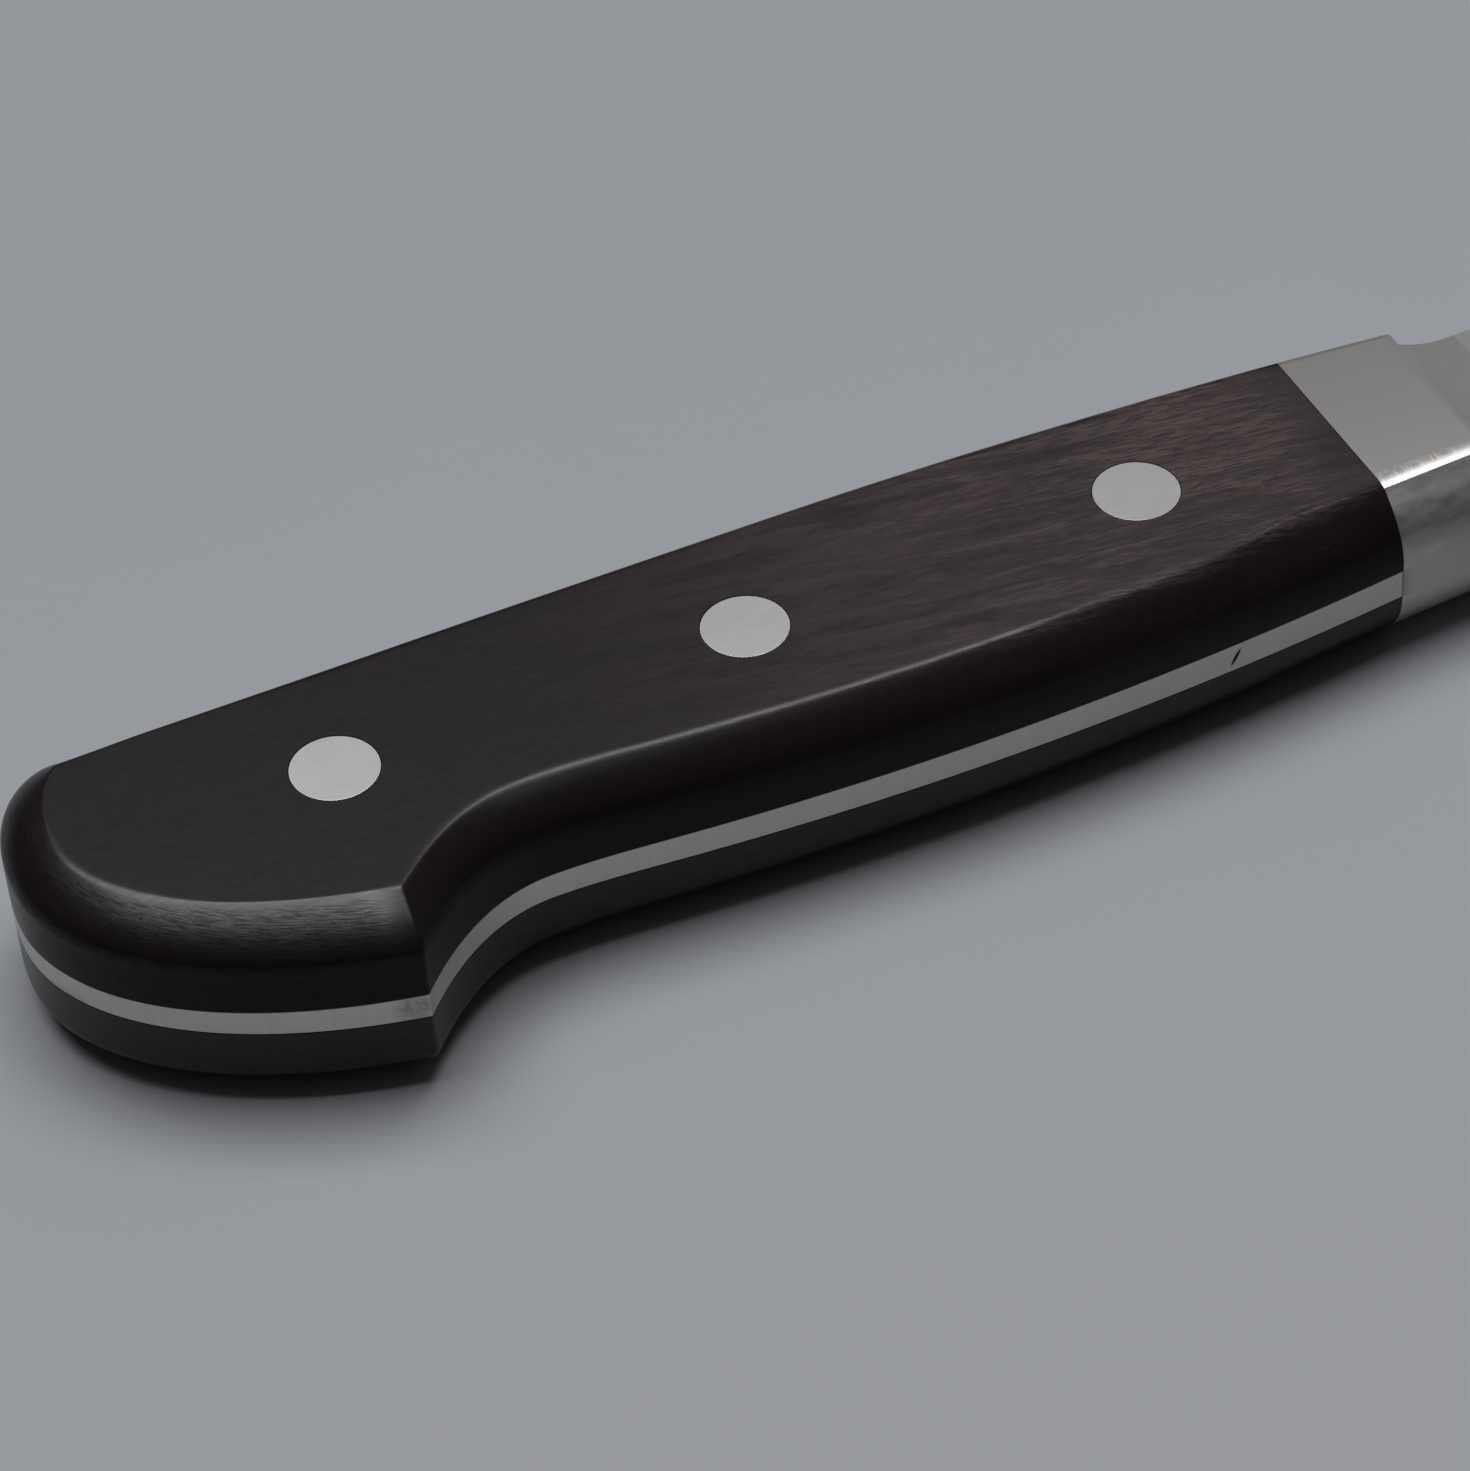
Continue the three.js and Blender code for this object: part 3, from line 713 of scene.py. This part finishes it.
def steel_ring(x):
    """Section of the steel: eased spine, face, bevel and edge on the right, then on the left."""
    top = spine_line(x)
    bottom = lower_line(x)
    in_bolster = 0 < x <= BOLSTER_LENGTH
    strip_edge = WELD_EDGE if in_bolster else STRIP_EDGE
    edge = lerp(strip_edge, SPINE_EDGE, smooth((x - HEEL_X) / HEEL_X))
    edge = min(edge, float(steel_height(x)) / 2, (top - bottom) / 4)
    cutting = x >= HEEL_X
    bevel = min(BEVEL_HEIGHT, (top - bottom) * BEVEL_SHARE) if cutting else strip_edge
    right = [(x, top, float(steel_height(x)) - edge)]
    for y in np.linspace(top - edge, bottom + bevel, FACE_ROWS):
        right.append((x, y, blade_height(x, y)))
    last = EDGE_WIDTH / 2 if cutting else blade_height(x, bottom) - strip_edge
    right.append((x, bottom, last))
    return right + [(px, py, -pz) for px, py, pz in reversed(right)]


def blade_and_tang(name):
    """The steel from butt to tip, in sections along its length, with the bores of the tang."""
    front, butt = handle_stations()
    stations = list(reversed(front + butt))
    stations += [BOLSTER_LENGTH * i / BOLSTER_STEPS for i in range(1, BOLSTER_STEPS + 1)]
    stations.append(CHOIL_X)
    for i in range(1, CHOIL_STEPS + 1):
        stations.append(CHOIL_X + CHOIL_RADIUS * math.sin(math.pi / 2 * i / CHOIL_STEPS))
    for i in range(BLADE_STEPS + 1):
        stations.append(lerp(HEEL_X, TIP_X - TIP_ROUND, i / BLADE_STEPS))
    rings = [steel_ring(x) for x in stations]
    points = [p for ring in rings for p in ring]
    piece = new_object(name, points, loft_faces(len(rings), len(rings[0])))
    bore = RIVET_BARREL_RADIUS + SEAM
    ends = -TANG_AT_JOINT, TANG_AT_JOINT
    profile = [(0, ends[0]), (bore, ends[0]), (bore, ends[1]), (0, ends[1])]
    drill(piece, [turned("cutter", x, profile) for x in RIVETS.values()])
    shade(piece)
    return piece


def rivet_half(name, x, side):
    """Male half with its post on the right, female half with its barrel on the left."""
    under = head_floor(x) + SEAM
    top = flat_height(x) - RIVET_RECESS
    rim = RIVET_HEAD_RADIUS
    turns = [math.pi / 2 * i / RIM_STEPS for i in range(RIM_STEPS + 1)]
    eased = [
        (rim - RIVET_EDGE * (1 - math.cos(turn)), top - RIVET_EDGE * (1 - math.sin(turn)))
        for turn in turns
    ]
    head = [(rim, under)] + eased + [(rim - 2 * RIVET_EDGE, top), (0, top)]
    if side > 0:
        end = -head_floor(x) + SEAM
        stem = [(0, end), (RIVET_POST_RADIUS, end), (RIVET_POST_RADIUS, under)]
    else:
        end = -head_floor(x)
        inner = RIVET_POST_RADIUS + SEAM
        outer = RIVET_BARREL_RADIUS
        stem = [(0, under), (inner, under), (inner, end), (outer, end), (outer, under)]
    piece = turned(name, x, stem + head, side, under + RIVET_EDGE)
    shade(piece)
    return piece


# Materials
def feed(tree, node, inputs):
    """Links sockets to the node's inputs and sets plain values on them."""
    for key, value in inputs.items():
        if isinstance(value, bpy.types.NodeSocket):
            tree.links.new(value, node.inputs[key])
        else:
            node.inputs[key].default_value = value


def add(tree, kind, inputs=(), **settings):
    made = tree.nodes.new("ShaderNode" + kind)
    for key, value in settings.items():
        setattr(made, key, value)
    feed(tree, made, dict(inputs))
    return made


def maths(tree, operation, a, b=0.0):
    return add(tree, "Math", {0: a, 1: b}, operation=operation).outputs[0]


def product(tree, first, *others):
    for other in others:
        first = maths(tree, "MULTIPLY", first, other)
    return first


def separate(tree, vector):
    return add(tree, "SeparateXYZ", {0: vector}).outputs


def spun(tree, vector, turn):
    """The coordinates turned about their third axis."""
    return add(tree, "Mapping", {"Vector": vector, "Rotation": (0, 0, turn)}).outputs[0]


def noise(tree, vector, texture):
    sizes, detail, roughness, distortion = texture
    scales = [1 / (size * MM) for size in sizes]
    stretched = add(tree, "Mapping", {"Vector": vector, "Scale": scales}).outputs[0]
    inputs = {"Vector": stretched, "Scale": 1, "Detail": detail}
    inputs.update({"Roughness": roughness, "Distortion": distortion})
    return add(tree, "TexNoise", inputs).outputs["Fac"]


def ramp(tree, value, span, levels=(0.0, 1.0)):
    """From the first level to the second, smoothly, while the value crosses the span."""
    inputs = {"Value": value, "From Min": span[0], "From Max": span[1]}
    inputs.update({"To Min": levels[0], "To Max": levels[1]})
    return add(tree, "MapRange", inputs, interpolation_type="SMOOTHSTEP").outputs[0]


def fade(tree, length, span, levels=(0.0, 1.0), place=0.0):
    """A ramp over a length of the frame, with the span in millimetres from a place."""
    return ramp(tree, length, [(place + end) * MM for end in span], levels)


def mixed(tree, factor, a, b):
    made = add(tree, "Mix", data_type="RGBA")
    keys = [k for k, socket in enumerate(made.inputs) if socket.enabled]
    feed(tree, made, dict(zip(keys, (factor, a, b))))
    return next(socket for socket in made.outputs if socket.enabled)


def colour(r, g, b):
    return (r, g, b, 1.0)


def spot(tree, vector, values):
    """1 inside an ellipsoid, fading to 0 at its surface."""
    centre, sizes, turn, full = values
    place = {
        "Vector": vector,
        "Location": row(centre),
        "Rotation": (0, turn, 0),
        "Scale": [size * MM for size in sizes],
    }
    local = add(tree, "Mapping", place, vector_type="TEXTURE").outputs[0]
    away = add(tree, "VectorMath", {0: local}, operation="LENGTH").outputs["Value"]
    return ramp(tree, away, (1.0, full))


def bump(tree, height, relief, normal=None):
    depth, strength = relief
    inputs = {"Height": height, "Distance": depth * MM, "Strength": strength}
    if normal is not None:
        inputs["Normal"] = normal
    return add(tree, "Bump", inputs).outputs[0]


def new_material(name):
    material = bpy.data.materials.new(name)
    material.use_nodes = True
    tree = material.node_tree
    coords = add(tree, "TexCoord").outputs["Object"]
    return material, tree, coords


def plug(tree, values):
    """Feeds the material's own shader."""
    feed(tree, tree.nodes["Principled BSDF"], values)


def in_frame(x):
    """Where a place on the knife's own axis lies in the frame, in millimetres."""
    return PLACE @ Vector((x, 0, 0))


def along(x):
    return in_frame(x)[0]


def wood_colour(tree, coords, grain, x, below, dark):
    """Black at the butt, red-brown towards the bolster, black again in the flecks, and with painted
    shade taking the brown off the sides below the crease.
    """
    span = along(RIVETS["middle"]) - BROWN_LEAD, along(RIVETS["front"])
    brown = fade(tree, x, span, BROWN_LEVELS)
    patches = ramp(tree, noise(tree, grain, PATCHES), PATCH_RANGE, PATCH_LEVELS)
    rosy = product(tree, spot(tree, coords, ROSY_SPOT), ROSY_SHARE)
    brown = maths(tree, "ADD", product(tree, brown, patches), rosy)
    at_joint = fade(tree, x, JOINT_SHADE, JOINT_LEVELS, along(0))
    # painted shade: below the crease the brown drops to a tenth, so the sides are darker than the
    # flats
    brown_above_side_shade = fade(tree, below, SIDE_SHADE_FOOT, SIDE_SHADE_LEVELS)
    unflecked = maths(tree, "SUBTRACT", 1.0, product(tree, dark, FLECK_SHARE))
    brown = product(tree, brown, at_joint, brown_above_side_shade, unflecked)
    return mixed(tree, brown, colour(*BLACK_WOOD), colour(*BROWN_WOOD))


def bevel_sheen(tree, x, below, on_butt):
    """Sheen of the butt's bevel, most at the hook and at the end of its crease."""
    at_hook = fade(tree, x, HOOK_SPAN, HOOK_SHEEN, along(HOOK_X))
    at_end = fade(tree, x, END_SPAN, END_SHEEN, along(BUTT_X))
    at_end = product(tree, at_end, fade(tree, below, END_FOOT))
    on_bevel = product(tree, fade(tree, below, BEVEL_FOOT), on_butt)
    return product(tree, on_bevel, maths(tree, "ADD", at_hook, at_end))


def crease_sheen(tree, x, below):
    """Sheen of the flats and their creases, dulled on the crease towards the front."""
    dull_front = fade(tree, x, FRONT_DULL_SPAN, FRONT_DULLING, along(RIVETS["front"]))
    dull_grip = fade(tree, x, GRIP_DULL_SPAN, GRIP_DULLING, along(HOOK_X))
    dull = maths(tree, "MAXIMUM", dull_grip, dull_front)
    dull_crease = product(tree, fade(tree, below, CREASE_TOP), dull)
    sheen = maths(tree, "SUBTRACT", fade(tree, below, FLAT_FOOT), dull_crease)
    return maths(tree, "MAXIMUM", sheen, 0.0)


def wood():
    """Dense dark laminated wood, with open grain at the front and sanding marks on the butt."""
    material, tree, coords = new_material("scale_wood")
    x, _, z = separate(tree, coords)
    surface = add(tree, "UVMap", uv_map="surface").outputs[0]
    below = separate(tree, surface)[1]
    grain = spun(tree, coords, GRAIN_TURN)
    flecks = noise(tree, grain, FLECKS)
    open_grain = fade(tree, x, (along(RIVETS["rear"]), along(RIVETS["front"])), OPEN_GRAIN_LEVELS)
    dark = product(tree, ramp(tree, flecks, FLECK_RANGE), open_grain)
    base = wood_colour(tree, coords, grain, x, below, dark)

    on_butt = fade(tree, x, BUTT_SPAN, place=along(HOOK_X))
    marks = noise(tree, spun(tree, surface, MARK_TURN), SANDING)
    sanded = product(tree, fade(tree, below, MARK_TOP), fade(tree, below, MARK_FOOT), on_butt)
    marked = product(tree, sanded, ramp(tree, marks, SANDING_RANGE))

    worn = fade(tree, z, WORN_SPAN, WORN_GLOSS, in_frame(RIVETS["middle"])[2])
    sheen = maths(tree, "MAXIMUM", bevel_sheen(tree, x, below, on_butt), crease_sheen(tree, x, below))
    gloss = maths(tree, "ADD", worn, product(tree, sheen, SHEEN_GLOSS))
    uneven = ramp(tree, noise(tree, grain, UNEVENNESS), FULL_RANGE, UNEVEN_LEVELS)
    gloss = product(tree, gloss, uneven, ramp(tree, marked, (0, 1), (1, MARK_GLOSS)))

    rough = ramp(tree, dark, (0, 1), WOOD_ROUGHNESS)
    normal = bump(tree, product(tree, marks, sanded), SANDING_RELIEF)
    normal = bump(tree, product(tree, flecks, open_grain), FLECK_RELIEF, normal)
    normal = bump(tree, noise(tree, grain, PORES), PORE_RELIEF, normal)
    plug(tree, {"Base Color": base, "Roughness": rough, "Normal": normal})
    plug(tree, {"IOR": WOOD_IOR, "Specular IOR Level": gloss})
    return material


def steel(name):
    """Ground steel: fine marks along one direction, with patches of slightly other gloss."""
    tint, roughness, mark_sizes, contrast = STEELS[name]
    material, tree, coords = new_material(name)
    marks = noise(tree, coords, (mark_sizes, *GRINDING_NOISE))
    cloud = noise(tree, coords, STEEL_CLOUDS)
    tone = maths(tree, "ADD", product(tree, marks, MARK_SHARE), product(tree, cloud, 1 - MARK_SHARE))
    pale = [min(1, c * (1 + contrast)) for c in tint]
    dim = [c * (1 - contrast) for c in tint]
    base = mixed(tree, ramp(tree, tone, FULL_RANGE), colour(*dim), colour(*pale))
    gloss_step = contrast * GLOSS_SHARE
    rough = ramp(tree, tone, FULL_RANGE, (roughness + gloss_step, roughness - gloss_step))
    normal = bump(tree, marks, (GRINDING_DEPTH * contrast, GRINDING_STRENGTH))
    plug(tree, {"Base Color": base, "Metallic": 1.0, "Roughness": rough, "Normal": normal})
    return material, tree, coords, base, rough


def satin_sides():
    """The bolster's steel, with a duller finish on the sides than on the flats and painted shade
    darkening the sides' colour.
    """
    material, tree, coords, base, rough = steel("bolster_steel")
    y = separate(tree, coords)[1]
    crease = CREASE_INSET - BELLY_AT_JOINT
    on_side = fade(tree, y, SIDE_SPAN, place=crease)
    # painted shade: the sides' colour is mixed a share of the way towards a darker grey
    base = mixed(tree, product(tree, on_side, SHADED_SHARE), base, colour(*SHADED_STEEL))
    blur = ramp(tree, noise(tree, coords, SIDE_BLUR), FULL_RANGE, SIDE_DULLING)
    on_edge = fade(tree, y, POLISHED_TOP, place=crease)
    on_edge = product(tree, on_edge, fade(tree, y, POLISHED_FOOT, place=crease))
    scratches = ramp(tree, noise(tree, coords, SCRATCHES), SCRATCH_RANGE, SCRATCH_DULLING)
    duller = maths(tree, "ADD", product(tree, on_side, blur), product(tree, on_edge, scratches))
    plug(tree, {"Base Color": base, "Roughness": maths(tree, "ADD", rough, duller)})
    return material


def blade_steel():
    """Satin steel ground across the blade, with a nick and a stain on the tang's lower edge."""
    material, tree, coords, base, rough = steel("blade_steel")
    x = separate(tree, coords)[0]
    butt, joint, front = (along(place) for place in (BUTT_X, 0, BOLSTER_LENGTH))

    tarnish = fade(tree, x, (butt, joint), TARNISH_LEVELS)
    tarnish = product(tree, tarnish, fade(tree, x, TARNISH_SPAN, place=joint))
    base = mixed(tree, tarnish, base, colour(*TARNISHED_STEEL))
    # painted shade: inside the bolster the tang gets the same darker grey as the bolster's sides, and
    # a duller finish
    in_bolster = fade(tree, x, (front, front - IN_BOLSTER_FADE))
    in_bolster = product(tree, in_bolster, fade(tree, x, (joint, joint + IN_BOLSTER_FADE)))
    base = mixed(tree, product(tree, in_bolster, SHADED_SHARE), base, colour(*SHADED_STEEL))
    rough = maths(tree, "ADD", rough, product(tree, in_bolster, WELD_DULLING))
    from_joint = maths(tree, "ABSOLUTE", maths(tree, "SUBTRACT", x, joint * MM))
    base = mixed(tree, fade(tree, from_joint, SEAM_SPAN, SEAM_LEVELS), base, colour(*SEAM_LINE))

    blots = ramp(tree, noise(tree, coords, BLOTS), BLOT_RANGE, STAIN_LEVELS)
    stain = product(tree, spot(tree, coords, STAIN_SPOT), blots)
    base = mixed(tree, stain, base, colour(*STAIN_BROWN))
    base = mixed(tree, spot(tree, coords, NICK_SPOT), base, colour(*NICK_BLACK))
    plug(tree, {"Base Color": base, "Roughness": rough})
    return material


# Stage
def floor():
    material, tree, coords = new_material("grey_table")
    # painted light: the table's colour grows paler towards the camera, as if more light fell there
    lit_near = ramp(tree, separate(tree, coords)[1], TABLE_LIGHT_FADE)
    mottle = noise(tree, coords, MOTTLE)
    pale = maths(tree, "ADD", product(tree, lit_near, LIGHT_SHARE), product(tree, mottle, 1 - LIGHT_SHARE))
    base = mixed(tree, pale, colour(*TABLE_FAR_DIM), colour(*TABLE_NEAR_LIT))
    normal = bump(tree, noise(tree, coords, GRIT), GRIT_RELIEF)
    plug(tree, {"Base Color": base, "Roughness": TABLE_ROUGHNESS, "Normal": normal})
    corners = [(x * TABLE_REACH, y * TABLE_REACH, 0) for x, y in ((-1, -1), (1, -1), (1, 1), (-1, 1))]
    mesh = bpy.data.meshes.new("table")
    mesh.from_pydata(corners, [], [(0, 1, 2, 3)])
    table = bpy.data.objects.new("table", mesh)
    bpy.context.scene.collection.objects.link(table)
    mesh.materials.append(material)


def softbox():
    """One large soft lamp above the knife."""
    data = bpy.data.lights.new("overhead_softbox", "AREA")
    data.shape = "RECTANGLE"
    data.size, data.size_y = SOFTBOX_SIZE
    data.energy = SOFTBOX_RADIANCE * math.pi * SOFTBOX_SIZE[0] * SOFTBOX_SIZE[1]
    lamp = bpy.data.objects.new("overhead_softbox", data)
    lamp.location = SOFTBOX_PLACE
    facing = (Vector(SOFTBOX_PLACE) - Vector(SOFTBOX_AIM)).to_track_quat("Z", "Y").to_matrix()
    lamp.rotation_euler = (facing @ Matrix.Rotation(SOFTBOX_TURN, 3, "Z")).to_euler()
    bpy.context.scene.collection.objects.link(lamp)


def world():
    """Dim room with a greyer ceiling and a paler wall beyond the blade."""
    scene = bpy.context.scene
    scene.world = bpy.data.worlds.new("room")
    scene.world.use_nodes = True
    tree = scene.world.node_tree
    way = add(tree, "TexCoord").outputs["Generated"]
    wall_way = Vector(WALL_WAY).normalized()
    toward = add(tree, "VectorMath", {0: way, 1: wall_way}, operation="DOT_PRODUCT").outputs["Value"]
    ceiling = ramp(tree, separate(tree, way)[2], CEILING_SPAN, CEILING_GLOW)
    glow = maths(tree, "ADD", ceiling, ramp(tree, toward, WALL_SPAN, WALL_GLOW))
    feed(tree, tree.nodes["Background"], {"Strength": glow, "Color": colour(*ROOM_TINT)})


def camera():
    azimuth, elevation, roll = (math.radians(degrees) for degrees in CAMERA_TURNS)
    turn = Matrix.Rotation(azimuth, 4, "Z") @ Matrix.Rotation(math.pi / 2 - elevation, 4, "X")
    turn = turn @ Matrix.Rotation(roll, 4, "Z")
    back = turn.to_3x3() @ Vector((0, 0, CAMERA_DISTANCE * MM))
    data = bpy.data.cameras.new("camera")
    data.lens = CAMERA_LENS
    data.clip_start = CAMERA_NEAREST * MM
    made = bpy.data.objects.new("camera", data)
    made.matrix_world = Matrix.Translation(Vector(CAMERA_AIM) * MM + back) @ turn
    bpy.context.scene.collection.objects.link(made)
    bpy.context.scene.camera = made


def place_piece(piece, node, material):
    piece.data.materials.clear()
    piece.data.materials.append(material)
    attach(piece, "root")
    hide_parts(node)


camera()
floor()
world()
softbox()
bpy.context.scene.view_settings.view_transform = "Standard"

scale_wood = wood()
bolster_steel = satin_sides()
rivet_steel = steel("rivet_steel")[0]

place_piece(blade_and_tang("blade_and_tang"), "blade_with_tang", blade_steel())
for hand, side in (("right", 1), ("left", -1)):
    place_piece(cheek(f"{hand}_bolster", side), f"bolster_{hand}", bolster_steel)
    place_piece(scale(f"{hand}_scale", side), f"scale_{hand}", scale_wood)
for rivet, place in RIVETS.items():
    for half, side in (("male", 1), ("female", -1)):
        piece = rivet_half(f"{rivet}_rivet_{half}", place, side)
        place_piece(piece, f"rivet_{rivet}_{half}", rivet_steel)
